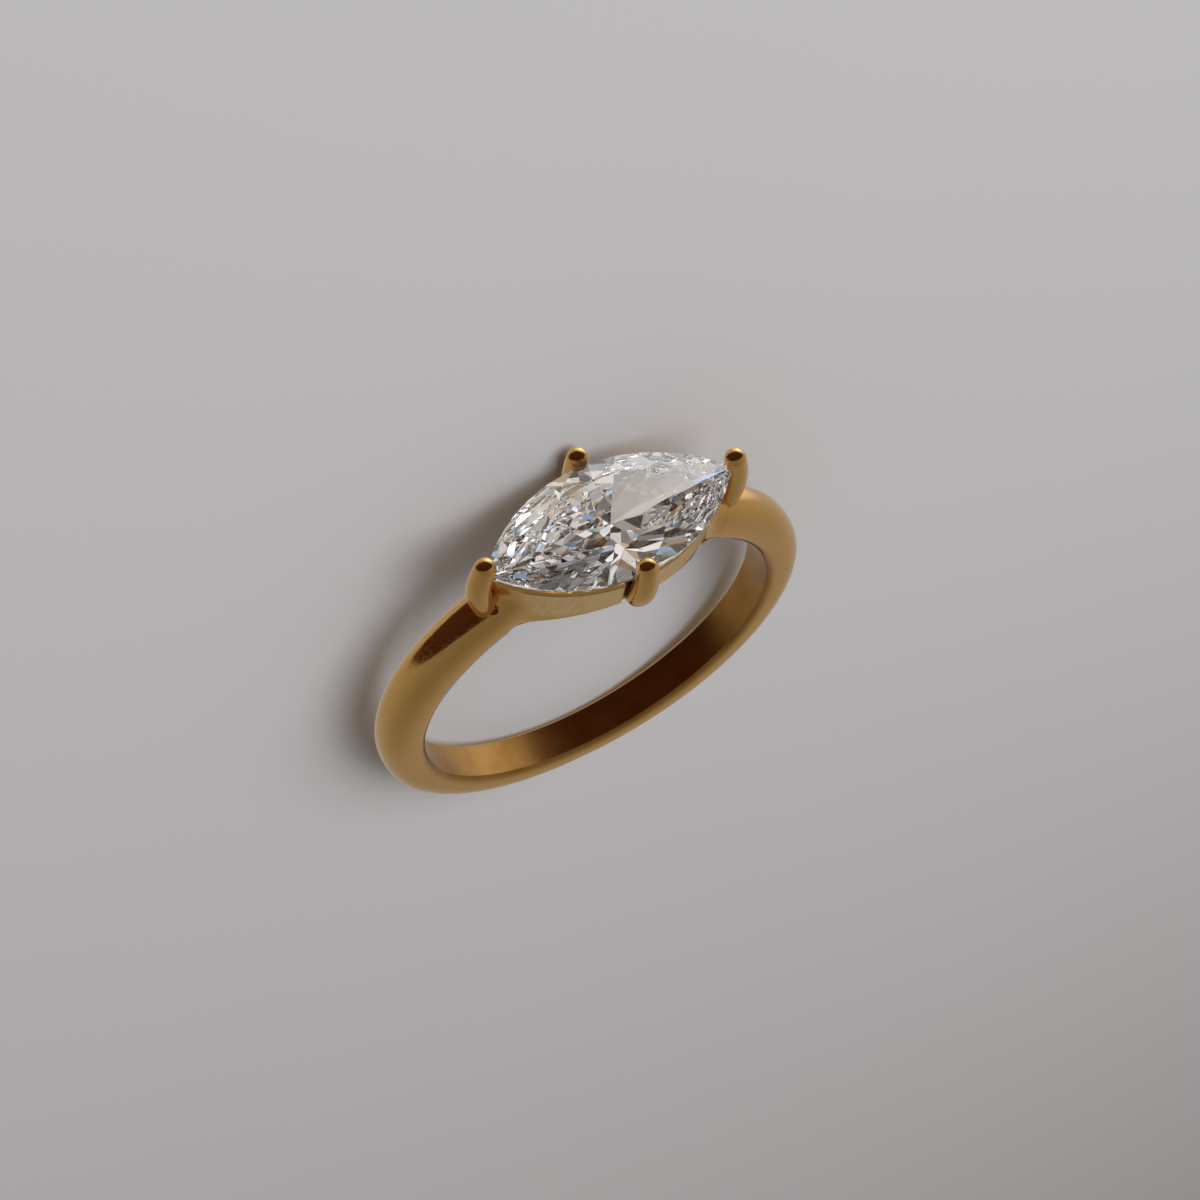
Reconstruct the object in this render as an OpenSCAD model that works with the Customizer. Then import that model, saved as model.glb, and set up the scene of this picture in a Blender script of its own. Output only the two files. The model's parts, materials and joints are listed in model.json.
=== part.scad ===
// Marquise ring: a polished gold band with a low four prong basket that holds
// one long pointed stone across the finger. The ring lies on its side, as it rests by itself.
// The shapes are drawn upright: X along the stone, Y along the finger, Z up through the stone,
// with zero at the centre of the finger hole. lay_down() then turns them onto the ring's side.

/* [Finger] */
// Inside diameter of the band
finger_d = 16.5; // [15.5:0.1:17.5]

/* [Band] */
// Width of the band at its lowest point
band_w_low = 1.95; // [1.7:0.05:2.4]
// Width of the band at the shoulders
band_w_top = 2.15; // [1.8:0.05:2.4]
// Thickness of the band at its lowest point
band_t_low = 1.6; // [1.2:0.05:2]
// Thickness of the band towards the stone
band_t_top = 1.85; // [1.6:0.05:2.1]
// Fullness of the band's outside, 2 is an ellipse and more is squarer
dome_fullness = 2.3; // [2:0.1:3]
// Fullness of the band's inside corners, 2 is an ellipse and more is squarer
inside_fullness = 3.2; // [2:0.1:4]

/* [Stone] */
// Length of the stone from point to point
stone_l = 11; // [10:0.1:11.5]
// Width of the stone at its belly
stone_w = 5.3; // [4.9:0.1:5.6]
// Height of the middle of the girdle above the top of the finger hole
girdle_over = 2.2; // [2.2:0.05:2.5]
// Thickness of the girdle
girdle_t = 0.12; // [0.08:0.01:0.2]
// Height of the crown above the girdle
crown_h = 0.8; // [0.6:0.05:0.9]
// Depth of the pavilion below the girdle
pavilion_h = 2; // [1.8:0.05:2.1]
// Size of the table as a share of the stone
table_share = 0.58; // [0.5:0.01:0.64]
// Height of the star facets' tips as a share of the crown
star_share = 0.66; // [0.55:0.01:0.75]
// Depth of the lower girdle facets' tips as a share of the pavilion
lower_share = 0.78; // [0.6:0.01:0.85]

/* [Basket] */
// Drop from the middle of the girdle to the rim of the basket
rim_drop = 0.58; // [0.5:0.02:0.7]
// How far the rim stands in from the stone's outline
rim_inset = 0.13; // [0.05:0.01:0.2]
// How far the wall leans in from its rim to its foot
wall_lean = 0.36; // [0.2:0.02:0.6]
// Thickness of the basket's wall
wall_t = 0.7; // [0.6:0.05:0.8]
// Width of the small bevel round the rim
rim_bevel = 0.08; // [0.04:0.01:0.12]

/* [Prongs] */
// Diameter of a prong's shaft
prong_d = 1.1; // [1:0.02:1.2]
// Diameter of a prong's rounded tip
tip_d = 0.9; // [0.8:0.02:1.1]
// Height of a tip's centre above the middle of the girdle
tip_over = 0.6; // [0.5:0.05:0.7]
// Distance of the tips' centres outside the stone's points
point_out = 0.06; // [0:0.02:0.2]
// Distance of the tips' centres outside the stone's belly
belly_out = 0.12; // [0:0.02:0.2]
// How far the prongs at the stone's points bow outwards
point_bow = 0.5; // [0.3:0.05:0.6]
// How far the prongs at the stone's belly bow outwards
belly_bow = 0.3; // [0.1:0.05:0.4]
// Free width beside each belly prong in the notch that it stands in
notch_side = 0.1; // [0.06:0.02:0.3]
// Depth of that notch in the basket's wall
notch_deep = 0.12; // [0.06:0.02:0.3]

/* [Hidden] */

finger_r = finger_d / 2;
girdle_up = finger_r + girdle_over;
stone_a = stone_l / 2;
stone_b = stone_w / 2;
rim_up = girdle_up - rim_drop;
// Air between the stone and the metal all round
gap = 0.03;
// Sides that a circle is drawn with in the previews
round_sides = 120;

// The outline of the stone is two arcs of this radius, whose centres lie this far across the middle.
arc_r = (stone_a * stone_a + stone_b * stone_b) / (2 * stone_b);
arc_off = arc_r - stone_b;

// The basket's wall starts at this height, inside the shoulders
foot_up = finger_r * 0.6;
// How far the wall stands in from the stone's outline at a height
function wall_in(up) = rim_inset + wall_lean * (rim_up - up) / (rim_up - foot_up);

function mix(a, b, t) = a + (b - a) * t;
function signed_pow(v, p) = sign(v) * pow(abs(v), p);
function low_of(list, axis) = min([for (p = list) p[axis]]);
function high_of(list, axis) = max([for (p = list) p[axis]]);

// Stone outline

// Half of the angle that each arc of radius r spans between the two tips
function arc_half(r) = acos(arc_off / r);
// Turn around the stone, 0 at the right tip and 0.5 at the left one, as the angle of its arc
function arc_angle(r, turn) = let (s = turn * 2 % 1) mix(90 - arc_half(r), 90 + arc_half(r), s);
function arc_side(turn) = turn % 1 < 0.5 ? 1 : -1;
function outline(r, turn) =
    let (a = arc_angle(r, turn))
    arc_side(turn) * [r * cos(a), r * sin(a) - arc_off];
// Outward direction of the outline, along the stone at its two tips
function outward(turn) =
    let (a = arc_angle(arc_r, turn), k = arc_side(turn))
    turn * 2 % 1 == 0 ? [k, 0] : k * [cos(a), sin(a)];

// A marquise shaped plug between two heights, whose arcs grow by low_grow and top_grow
module plug(low, top, low_grow, top_grow) {
    intersection_for (side = [-1, 1])
        translate([0, side * arc_off, low])
            cylinder(h = top - low, r1 = arc_r + low_grow, r2 = arc_r + top_grow, $fn = round_sides);
}

// Band: an oval section swept round the finger, a little fuller towards the stone

stations = 72;
section_points = 20;
// Depth of the section that the finger hole takes off, and where the section is widest
hole_bite = 0.15;
widest_share = 0.45;
function rise(a) = sqrt((1 + cos(a)) / 2);
function band_point(a, b) =
    let (full = sin(b) >= 0 ? dome_fullness : inside_fullness,
         share = sin(b) >= 0 ? 1 - widest_share : widest_share,
         t = mix(band_t_low, band_t_top, rise(a)) + hole_bite,
         w = mix(band_w_low, band_w_top, rise(a)),
         r = finger_r - hole_bite + t * (widest_share + share * signed_pow(sin(b), 2 / full)))
    [r * sin(a), w / 2 * signed_pow(cos(b), 2 / full), r * cos(a)];
band_points = [for (i = [0 : stations - 1], j = [0 : section_points - 1])
    band_point(360 * i / stations, 360 * j / section_points)];

module band() {
    function at(i, j) = (i % stations) * section_points + j % section_points;
    polyhedron(band_points, [for (i = [0 : stations - 1], j = [0 : section_points - 1])
        [at(i, j), at(i + 1, j), at(i + 1, j + 1), at(i, j + 1)]]);
}

// Prongs: round posts that stand in a plane through the stone's middle and bow out on their way up

prong_sides = 16;
cap_steps = 4;
shaft_steps = 8;
// Places along a prong: [place on the bow, lift of the round end, share of the radius]
prong_rings = concat(
    [for (k = [1 : cap_steps]) let (a = 90 * k / cap_steps) [0, -cos(a), sin(a)]],
    [for (k = [1 : shaft_steps - 1]) [k / shaft_steps, 0, 1]],
    [for (k = [0 : cap_steps - 1]) let (a = 90 * k / cap_steps) [1, sin(a), cos(a)]]);
function bow(p, t) = (1 - t) * (1 - t) * p[0] + 2 * t * (1 - t) * p[1] + t * t * p[2];
function bow_way(p, t) = let (v = (1 - t) * (p[1] - p[0]) + t * (p[2] - p[1])) v / norm(v);
function prong_r(t) = mix(prong_d, tip_d, t * t) / 2;
// Point on ring k of a prong: [out from the middle, up] along the bow, sideways across it
function prong_point(p, ring, b) =
    let (v = bow_way(p, ring[0]), r = prong_r(ring[0]),
         c = bow(p, ring[0]) + v * r * ring[1], across = [v[1], -v[0]])
    [each c + across * r * ring[2] * cos(b), r * ring[2] * sin(b)];
function prong_end(p, t, lift) = [each bow(p, t) + bow_way(p, t) * prong_r(t) * lift, 0];
function prong_points(p) = concat(
    [prong_end(p, 0, -1)],
    [for (ring = prong_rings, j = [0 : prong_sides - 1]) prong_point(p, ring, 360 * j / prong_sides)],
    [prong_end(p, 1, 1)]);

// A prong's foot, the bend that it bows towards and the centre of its tip, as [out, up].
// The feet at the points are sunk in the shoulders, those at the belly end just over the finger hole.
bend_up = girdle_up - 1;
tip_up = girdle_up + tip_over;
point_prong = [[stone_a, finger_r], [stone_a + point_bow, bend_up], [stone_a + point_out, tip_up]];
belly_foot_out = stone_b - wall_in(finger_r) + prong_d / 16;
belly_foot_up = finger_r + prong_d * 3 / 8;
belly_prong = [[belly_foot_out, belly_foot_up], [stone_b + belly_bow, bend_up],
    [stone_b + belly_out, tip_up]];

// Turns a prong's [out, up, sideways] points about the middle of the stone, 0 is the right tip
function stand(points, turn) =
    [for (p = points) [p[0] * cos(turn) - p[2] * sin(turn), p[0] * sin(turn) + p[2] * cos(turn), p[1]]];

module prong(p, turn) {
    rings = len(prong_rings);
    last = rings * prong_sides + 1;
    function at(k, j) = 1 + k * prong_sides + j % prong_sides;
    polyhedron(stand(prong_points(p), turn), concat(
        [for (j = [0 : prong_sides - 1]) [0, at(0, j), at(0, j + 1)]],
        [for (k = [0 : rings - 2], j = [0 : prong_sides - 1])
            [at(k, j), at(k + 1, j), at(k + 1, j + 1), at(k, j + 1)]],
        [for (j = [0 : prong_sides - 1]) [last, at(rings - 1, j + 1), at(rings - 1, j)]]));
}

module prongs() {
    for (turn = [0, 180])
        prong(point_prong, turn);
    for (turn = [90, 270])
        prong(belly_prong, turn);
}

// Cut stone: the facets' corners are worked out so that each facet is flat

mains = 8;
// The facets meet this far outside the outline, so the cut edge of the girdle is a true arc
overcut = 0.05;
// Corners of the stone, all grown outwards by g to leave air round it in the metal
function girdle_corner(k, g) = outline(arc_r + overcut + g, (k % (2 * mains)) / (2 * mains));
function table_corner(i, g) = table_share * outline(arc_r + g, (i % mains) / mains);
// The point where two lines n.p = c cross
function cross_lines(n1, c1, n2, c2) =
    let (d = n1[0] * n2[1] - n1[1] * n2[0])
    [(c1 * n2[1] - c2 * n1[1]) / d, (n1[0] * c2 - n2[0] * c1) / d];
// Main facet i of the crown at a share of the crown's height is the line n.p = c
function crown_line(i, share, g) =
    let (k = i % mains, n = outward(k / mains),
         out = n * girdle_corner(2 * k, g), in = n * table_corner(k, g))
    mix(out, in, share);
// The same for the pavilion, whose main facets all meet at the culet
function pavilion_line(i, share, g) =
    let (k = i % mains, n = outward(k / mains))
    (1 - share) * (n * girdle_corner(2 * k, g));
function star_corner(i, g) = cross_lines(outward(i / mains), crown_line(i, star_share, g),
    outward((i + 1) % mains / mains), crown_line(i + 1, star_share, g));
function lower_corner(i, g) = cross_lines(outward(i / mains), pavilion_line(i, lower_share, g),
    outward((i + 1) % mains / mains), pavilion_line(i + 1, lower_share, g));

module cut_stone(g) {
    half_t = girdle_t / 2 + g;
    n = mains;
    top = [for (i = [0 : n - 1]) [each table_corner(i, g), half_t + crown_h]];
    stars = [for (i = [0 : n - 1]) [each star_corner(i, g), half_t + crown_h * star_share]];
    upper = [for (k = [0 : 2 * n - 1]) [each girdle_corner(k, g), half_t]];
    lower = [for (k = [0 : 2 * n - 1]) [each girdle_corner(k, g), -half_t]];
    keels = [for (i = [0 : n - 1]) [each lower_corner(i, g), -half_t - pavilion_h * lower_share]];
    points = concat(top, stars, upper, lower, keels, [[0, 0, -half_t - pavilion_h]]);
    function t(i) = i % n;
    function s(i) = n + (i + n) % n;
    function u(k) = 2 * n + k % (2 * n);
    function l(k) = 4 * n + k % (2 * n);
    function q(i) = 6 * n + (i + n) % n;
    culet = 7 * n;
    each_main = [0 : n - 1];
    faces = concat(
        [[for (i = [n - 1 : -1 : 0]) t(i)]],
        [for (i = each_main) [t(i), t(i + 1), s(i)]],
        [for (i = each_main) [t(i), s(i), u(2 * i), s(i - 1)]],
        [for (i = each_main) [u(2 * i), s(i), u(2 * i + 1)]],
        [for (i = each_main) [u(2 * i + 1), s(i), u(2 * i + 2)]],
        [for (k = [0 : 2 * n - 1]) [u(k), u(k + 1), l(k + 1), l(k)]],
        [for (i = each_main) [l(2 * i), l(2 * i + 1), q(i)]],
        [for (i = each_main) [l(2 * i + 1), l(2 * i + 2), q(i)]],
        [for (i = each_main) [l(2 * i), q(i), culet, q(i - 1)]]);
    translate([0, 0, girdle_up])
        intersection() {
            polyhedron(points, faces);
            plug(-stone_l, stone_l, g, g);
        }
}

// Metal: band, basket and prongs in one piece

module basket() {
    bevel_up = rim_up - rim_bevel;
    plug(foot_up, bevel_up, -wall_in(foot_up), -wall_in(bevel_up));
    plug(bevel_up, rim_up, -wall_in(bevel_up), -wall_in(bevel_up) - rim_bevel);
}

// Open middle of the basket, from the finger hole to over its rim
module basket_hollow() {
    plug(0, girdle_up, -wall_in(0) - wall_t, -wall_in(girdle_up) - wall_t);
}

// Notches in the wall's outside where the belly prongs are soldered in
module prong_notches() {
    w = prong_d + 2 * notch_side;
    difference() {
        translate([-w / 2, -stone_w, 0])
            cube([w, stone_w * 2, girdle_up]);
        plug(0, girdle_up, -wall_in(0) - notch_deep, -wall_in(girdle_up) - notch_deep);
    }
}

module finger_hole() {
    rotate([90, 0, 0])
        cylinder(h = stone_l, r = finger_r, center = true, $fn = round_sides);
}

module metal() {
    difference() {
        union() {
            band();
            difference() {
                basket();
                prong_notches();
            }
            prongs();
        }
        basket_hollow();
        cut_stone(gap);
        finger_hole();
    }
}

// Rest: the ring leans on its back prong and on the band's far edge

side_points = stand(prong_points(belly_prong), 90);
// How deep a list of points reaches below the finger hole's centre with the ring tipped by an angle
function reach(list, tip) = max([for (p = list) p[1] * cos(tip) - p[2] * sin(tip)]);
// The angle at which the prong and the band reach equally deep, by halving the range
function level_tip(low, high, steps) =
    let (m = (low + high) / 2)
    steps == 0 ? m :
    reach(side_points, m) > reach(band_points, m) ? level_tip(m, high, steps - 1) :
    level_tip(low, m, steps - 1);
steepest_tip = 30;
halvings = 16;
rest_tip = level_tip(0, steepest_tip, halvings);
function laid(p) =
    let (c = cos(rest_tip), s = sin(rest_tip))
    [-p[0], -p[1] * s - p[2] * c, -p[1] * c + p[2] * s];
laid_points = [for (p = concat(band_points, side_points)) laid(p)];
laid_shift = [0, -(low_of(laid_points, 1) + high_of(laid_points, 1)) / 2, -low_of(laid_points, 2)];

module lay_down() {
    translate(laid_shift)
        rotate([-90 - rest_tip, 0, 0])
            rotate([0, 180, 0])
                children();
}

module gold_ring() {
    color("goldenrod")
        lay_down()
            metal();
}

module marquise_stone() {
    color("aliceblue")
        lay_down()
            cut_stone(0);
}

gold_ring();
marquise_stone();
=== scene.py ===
"""Marquise ring: smooth polished gold and a clear faceted stone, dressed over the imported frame.

The metal's shapes are worked out upright and in millimetres, with X along the stone, Y along the
finger and Z up through the stone, from the centre of the finger hole. They are laid down on the
ring's side and brought to metres at the end.
"""

import json
import math

import bmesh
import bpy
from bpy.props import FloatProperty, FloatVectorProperty, PointerProperty
from mathutils import Matrix, Vector


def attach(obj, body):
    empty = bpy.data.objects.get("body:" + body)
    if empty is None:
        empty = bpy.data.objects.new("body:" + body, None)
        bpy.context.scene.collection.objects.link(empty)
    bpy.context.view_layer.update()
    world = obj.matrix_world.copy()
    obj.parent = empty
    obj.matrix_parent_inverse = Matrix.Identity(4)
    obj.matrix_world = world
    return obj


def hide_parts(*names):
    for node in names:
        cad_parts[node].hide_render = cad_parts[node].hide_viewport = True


bl_info = {
    "name": "Marquise ring",
    "version": (1, 0, 0),
    "blender": (4, 5, 0),
    "location": "View3D > Sidebar > Ring",
    "description": "Polished gold ring with a long pointed clear stone, on a pale studio floor",
    "category": "Object",
}

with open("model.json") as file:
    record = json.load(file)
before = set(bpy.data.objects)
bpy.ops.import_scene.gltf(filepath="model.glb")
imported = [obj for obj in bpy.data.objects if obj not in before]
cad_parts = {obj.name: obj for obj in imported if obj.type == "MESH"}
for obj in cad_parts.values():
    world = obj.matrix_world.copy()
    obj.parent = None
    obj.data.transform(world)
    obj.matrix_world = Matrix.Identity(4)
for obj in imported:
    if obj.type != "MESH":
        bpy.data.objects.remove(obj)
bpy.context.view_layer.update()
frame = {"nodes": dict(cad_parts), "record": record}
HOLE = next(m for m in frame["record"]["mounts"] if m["name"] == "finger_hole")

MM = 0.001
# Points of a piece in the making that are nearer than this are one, in millimetres
DOUBLES = 1e-4
ROOT = "root"
GOLD_NODE = "gold_ring"
STONE_NODE = "marquise_stone"
RING_PIECE = "polished_gold_ring"


# Frame of the upright ring


def laid_down():
    """The turn and move that lay the upright ring, in metres, on its side in the row's frame."""
    stone_way = Vector((-1, 0, 0))
    finger_way = -Vector(HOLE["axis"]).normalized()
    ways = (stone_way, finger_way, stone_way.cross(finger_way))
    return Matrix.Translation(HOLE["pos_m"]) @ Matrix(ways).transposed().to_4x4()


LAID = laid_down()
LAID_MM = LAID @ Matrix.Scale(MM, 4)
FINGER_R = HOLE["dims"]["r_mm"]


# Sizes and finishes that a user would change


def length(name, description, mm):
    return FloatProperty(
        name=name, description=description, default=mm * MM, unit="LENGTH", precision=5
    )


def measure(name, description, default):
    return FloatProperty(name=name, description=description, default=default)


def share(name, description, default):
    return FloatProperty(name=name, description=description, default=default, subtype="FACTOR")


def turn(name, description, degrees):
    return FloatProperty(
        name=name, description=description, default=math.radians(degrees), unit="ROTATION"
    )


def tint(name, description, colour):
    return FloatVectorProperty(
        name=name, description=description, default=colour, size=3, subtype="COLOR", min=0, max=1
    )


def xyz(name, description, default):
    return FloatVectorProperty(
        name=name, description=description, default=default, size=3, subtype="XYZ"
    )


class BandSizes(bpy.types.PropertyGroup):
    """Section of the band and how it grows towards the stone"""

    width_low: length("Width, lowest", "Width of the band opposite the stone", 1.95)
    width_top: length("Width, shoulders", "Width of the band towards the stone", 2.15)
    thick_low: length("Thickness, lowest", "Thickness of the band opposite the stone", 1.6)
    thick_top: length("Thickness, shoulders", "Thickness of the band towards the stone", 1.85)
    outside: share("Outside fullness", "2 is an ellipse and more is squarer", 2.3)
    inside: share("Inside fullness", "2 is an ellipse and more is squarer", 3.2)
    fillet: length("Shoulder fillet", "How far the shoulders flow out onto the basket", 0.55)


class BasketSizes(bpy.types.PropertyGroup):
    """Outline of the stone and the wall that stands under it"""

    stone_length: length("Stone length", "Length of the stone from point to point", 11.0)
    stone_width: length("Stone width", "Width of the stone at its belly", 5.3)
    girdle_up: length("Girdle height", "Middle of the girdle above the finger hole's centre", 10.45)
    rim_drop: length("Rim drop", "Drop from the middle of the girdle to the rim", 0.58)
    rim_inset: length("Rim inset", "How far the rim stands in from the stone's outline", 0.13)
    lean: length("Lean", "How far the wall leans in from its rim to its foot", 0.36)
    wall: length("Wall", "Thickness of the wall", 0.7)
    bevel: length("Rim bevel", "Width of the bevel round the rim", 0.08)
    notch_side: length("Notch side", "Free width beside each side prong", 0.1)
    notch_deep: length("Notch depth", "Depth of the notch behind each side prong", 0.12)
    room: length("Air", "Air between the stone and the metal", 0.03)


class ProngSizes(bpy.types.PropertyGroup):
    """The four posts that hold the stone"""

    diameter: length("Shaft", "Diameter of a prong's shaft", 1.1)
    tip: length("Tip", "Diameter of a prong's rounded tip", 0.9)
    tip_up: length("Tip height", "Centre of a tip above the middle of the girdle", 0.6)
    point_out: length("Tips at the points", "Centres of the tips outside the stone's points", 0.06)
    belly_out: length("Tips at the belly", "Centres of the tips outside the stone's belly", 0.12)
    point_bow: length("Bow at the points", "How far the prongs at the points bow outwards", 0.5)
    belly_bow: length("Bow at the belly", "How far the prongs at the belly bow outwards", 0.3)


class GoldFinish(bpy.types.PropertyGroup):
    """Look of the polished metal"""

    colour: tint("Gold", "Colour of the polished gold", (0.82, 0.49, 0.16))
    roughness: share("Roughness", "Roughness of the polish", 0.13)
    brushed: share("Brushed roughness", "Roughness of the brushed wall under the stone", 0.36)
    # The bright brush marks' colour is a painted sheen
    brushed_sheen: tint("Brushed gold", "Colour of the bright brush marks", (1.0, 0.74, 0.4))
    # Darkness of the painted shade in the notches beside the side prongs
    notch_shade: share("Solder", "How dark the solder is beside the side prongs", 0.85)
    # The gold inside is painted shade: darkened for the dark reflections and shade inside the band
    inside: tint("Gold inside", "Colour of the worn gold against the finger", (0.36, 0.17, 0.04))


class StoneFinish(bpy.types.PropertyGroup):
    """Look of the cut stone"""

    ior: measure("IOR", "How strongly the stone bends light", 2.3)


class StudioLook(bpy.types.PropertyGroup):
    """Floor and light"""

    floor: tint("Floor", "Colour of the floor", (0.72, 0.72, 0.75))
    air: tint("Air", "Colour of the light all round", (0.365, 0.343, 0.31))
    air_slope: xyz("Air slope", "Way in which the light all round grows", (-0.2, -0.05, -0.35))
    room: tint("Dark room", "Colour of the dark room behind the camera", (0.06, 0.025, 0.02))
    window: tint("Window", "Colour of the pale window beyond the stone", (0.75, 0.77, 0.8))
    sun: measure("Window middle", "Brightness of the middle of the window", 3.2)
    key: FloatProperty(
        name="Key light", description="Power of the large light", default=0.62, unit="POWER"
    )
    key_size: length("Key size", "Width of the large light", 250)
    key_from: xyz("Key place", "Middle of the large light in metres", (-0.1, -0.18, 0.21))
    pane: measure("Panes", "Brightness of the pale panes that the stone shows", 1.2)
    gap: measure("Gaps", "Brightness between the panes", 0.06)
    even: measure("Even pane", "Brightness of the wide pane beyond the stone", 0.435)
    pane_scale: measure("Pane scale", "How many panes there are round the stone", 3.6)
    pane_slope: xyz("Pane slope", "Way in which the panes grow brighter", (0.0, 0.4, -0.6))


class CameraView(bpy.types.PropertyGroup):
    """The camera, by its angles about the upright ring"""

    azimuth: turn("Azimuth", "Turn about the ring's upright axis", 37.992)
    elevation: turn("Elevation", "Height over the finger's plane", 60.766)
    roll: turn("Roll", "Roll about the view's own axis", 9.944)
    distance: length("Distance", "From the finger hole's centre to the camera", 106.165)
    right: length("Right", "Shift of the ring to the right in the view", -0.456)
    above: length("Above", "Shift of the ring upwards in the view", -1.956)
    lens: measure("Lens", "Focal length in millimetres", 75.048)


# Node trees written as formulas


class Field:
    """A value that flows between nodes. Arithmetic on it adds the nodes that work it out."""

    def __init__(self, tree, socket):
        self.tree = tree
        self.socket = socket

    def calc(self, operation, *others):
        node = self.tree.nodes.new("ShaderNodeMath")
        node.operation = operation
        for value, socket in zip((self, *others), node.inputs):
            feed(self.tree, value, socket)
        return Field(self.tree, node.outputs[0])

    def __add__(self, other):
        return self.calc("ADD", other)

    def __sub__(self, other):
        return self.calc("SUBTRACT", other)

    def __mul__(self, other):
        return self.calc("MULTIPLY", other)

    def __truediv__(self, other):
        return self.calc("DIVIDE", other)

    def __pow__(self, other):
        return self.calc("POWER", other)

    def __neg__(self):
        return self * -1.0

    __radd__ = __add__
    __rmul__ = __mul__

    def __rsub__(self, other):
        return -self + other

    def __rtruediv__(self, other):
        return self**-1.0 * other

    def over(self, limit):
        """1 where the value is above the limit, or else 0"""
        return self.calc("GREATER_THAN", limit)

    def between(self, low, high):
        """0 at low and under, 1 at high and over, straight in between"""
        values = {"Value": self, "From Min": low, "From Max": high}
        return Field(self.tree, add(self.tree, "ShaderNodeMapRange", values).outputs[0])

    def until(self, low, high):
        """1 at low and under, 0 at high and over, straight in between"""
        return 1.0 - self.between(low, high)


def feed(tree, value, socket):
    """Links a field or socket to an input, or sets the input's own value."""
    if isinstance(value, Field):
        value = value.socket
    if isinstance(value, bpy.types.NodeSocket):
        tree.links.new(value, socket)
    else:
        socket.default_value = value


def add(tree, kind, inputs=None, **settings):
    """Adds a node, sets it up and feeds its inputs."""
    node = tree.nodes.new(kind)
    for name, value in settings.items():
        setattr(node, name, value)
    for name, value in (inputs or {}).items():
        feed(tree, value, node.inputs[name])
    return node


def blend(low, high, amount):
    return low + (high - low) * amount


def new_tree(name, kind, inputs, outputs):
    """A node group with named inputs and outputs, and its inputs as fields."""
    tree = bpy.data.node_groups.new(name, kind)
    for label, socket_type in outputs:
        tree.interface.new_socket(name=label, in_out="OUTPUT", socket_type=socket_type)
    for label, socket_type in inputs:
        tree.interface.new_socket(name=label, in_out="INPUT", socket_type=socket_type)
    source = tree.nodes.new("NodeGroupInput")
    return tree, {label: Field(tree, source.outputs[label]) for label, _ in inputs}


def finish_tree(tree, results):
    """Feeds the group's outputs."""
    sink = tree.nodes.new("NodeGroupOutput")
    for label, value in results.items():
        feed(tree, value, sink.inputs[label])


def vector_parts(tree, vector):
    """X, Y and Z of a vector as fields."""
    parts = add(tree, "ShaderNodeSeparateXYZ", {0: vector})
    return [Field(tree, socket) for socket in parts.outputs]


def position_parts(tree):
    """X, Y and Z of each point as fields."""
    return vector_parts(tree, tree.nodes.new("GeometryNodeInputPosition").outputs[0])


def moved_to(tree, geometry, x, y, z):
    """Geometry with each point set to a place."""
    place = add(tree, "ShaderNodeCombineXYZ", {"X": x, "Y": y, "Z": z})
    values = {"Geometry": geometry, "Position": place.outputs[0]}
    return add(tree, "GeometryNodeSetPosition", values).outputs[0]


def without_doubles(tree, geometry):
    """Geometry whose points that fall together are one."""
    node = add(tree, "GeometryNodeMergeByDistance", {"Geometry": geometry, "Distance": DOUBLES})
    return node.outputs[0]


def end_in_metal(tree, geometry, material):
    """Ends a tree: real geometry with its material set."""
    real = add(tree, "GeometryNodeRealizeInstances", {"Geometry": geometry})
    values = {"Geometry": real.outputs[0], "Material": material}
    painted = add(tree, "GeometryNodeSetMaterial", values)
    finish_tree(tree, {"Geometry": painted.outputs[0]})


# Pieces from node trees and from each other


def new_object(name, mesh):
    piece = bpy.data.objects.new(name, mesh)
    bpy.context.scene.collection.objects.link(piece)
    return piece


def applied(piece):
    """Replaces a piece's mesh by what its modifiers make of it, and removes them."""
    bpy.context.view_layer.update()
    seen = piece.evaluated_get(bpy.context.evaluated_depsgraph_get())
    mesh = bpy.data.meshes.new_from_object(seen)
    piece.modifiers.clear()
    old, piece.data = piece.data, mesh
    bpy.data.meshes.remove(old)
    return piece


def shaped(piece, tree, values):
    """Shapes a piece by a geometry tree, with the tree's inputs set by their identifiers."""
    modifier = piece.modifiers.new(tree.name, "NODES")
    modifier.node_group = tree
    for item in tree.interface.items_tree:
        if item.in_out == "INPUT" and item.name in values:
            modifier[item.identifier] = values[item.name]
    return applied(piece)


def grown(name, tree, values):
    """A piece that a geometry tree makes from nothing."""
    return shaped(new_object(name, bpy.data.meshes.new(name)), tree, values)


def combined(piece, other, operation):
    """Joins another piece to this one or cuts it away, and takes the other out of the scene."""
    modifier = piece.modifiers.new("combine", "BOOLEAN")
    modifier.operation = operation
    modifier.solver = "MANIFOLD"
    modifier.object = other
    applied(piece)
    bpy.data.objects.remove(other)
    return piece


# Band

# Size of the section while it is swept round a circle of radius 1
SWEEP_SCALE = 0.1
STATIONS = 360
SECTION_POINTS = 72
# How far the section reaches into the finger hole, which is cut last, in millimetres
HOLE_BITE = 0.15
# Where the section is widest, as a share of its thickness from the inside
WIDEST_SHARE = 0.45


def unit_circle(tree, points):
    """A circle of radius 1, on which two coordinates are a cosine and a sine"""
    values = {"Resolution": points, "Radius": 1.0}
    return add(tree, "GeometryNodeCurvePrimitiveCircle", values).outputs[0]


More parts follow.
